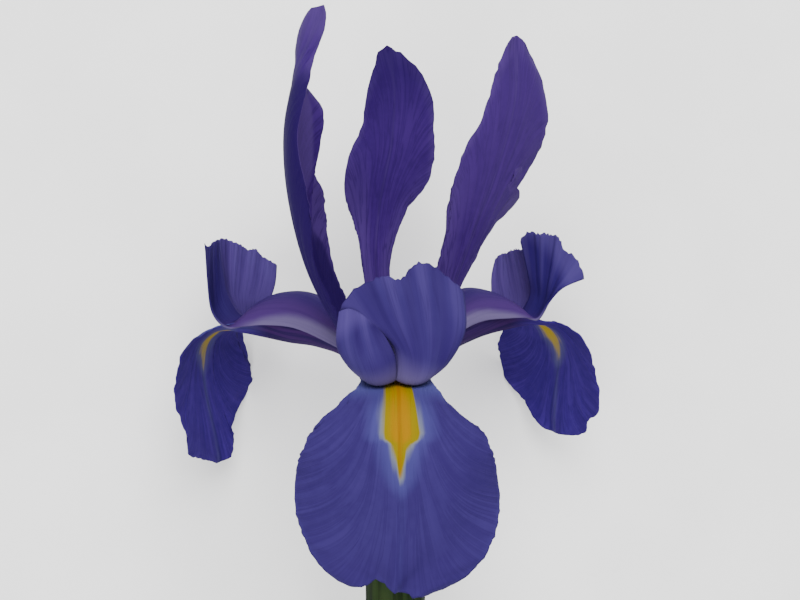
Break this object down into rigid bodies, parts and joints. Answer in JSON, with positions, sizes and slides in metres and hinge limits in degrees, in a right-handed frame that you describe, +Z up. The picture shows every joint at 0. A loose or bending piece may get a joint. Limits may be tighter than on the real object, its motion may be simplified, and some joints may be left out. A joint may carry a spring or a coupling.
{
  "type": "iris flower",
  "caption": "Cut iris in bloom laid on its side: upright narrow petals, drooping rounded petals with a yellow flash, arched crests and a short green stem.",
  "frame": {"origin": "on the table, under the middle of the flower's box as it lies", "axes": "+Y along the flower from the cut end of the stem to the petals' tips, +Z up from the table, +X to the flower's right"},
  "size_m": [0.0968, 0.1978, 0.0885],
  "materials": {
    "fall": "velvety blue-violet, yellow flash with a pale halo, fine dark veins",
    "standard": "satiny deep violet, fine veins",
    "style_arm": "satiny violet, paler lilac margins",
    "stamen": "matte pale filament, yellow-brown anther",
    "column": "matte pale lilac",
    "stem_green": "smooth waxy green",
    "ovary_green": "smooth waxy green, three blunt ribs",
    "spathe_green": "satin green with fine parallel veins"
  },
  "bodies": {
    "root": {"fall_front": "fall", "fall_right": "fall", "fall_left": "fall", "standard_back": "standard", "standard_right": "standard", "standard_left": "standard", "style_column": "column", "style_arm_front": "style_arm", "style_arm_right": "style_arm", "style_arm_left": "style_arm", "stamen_front": "stamen", "stamen_right": "stamen", "stamen_left": "stamen", "stem": "stem_green", "ovary": "ovary_green", "spathe_outer": "spathe_green", "spathe_inner": "spathe_green"}
  },
  "joints": []
}
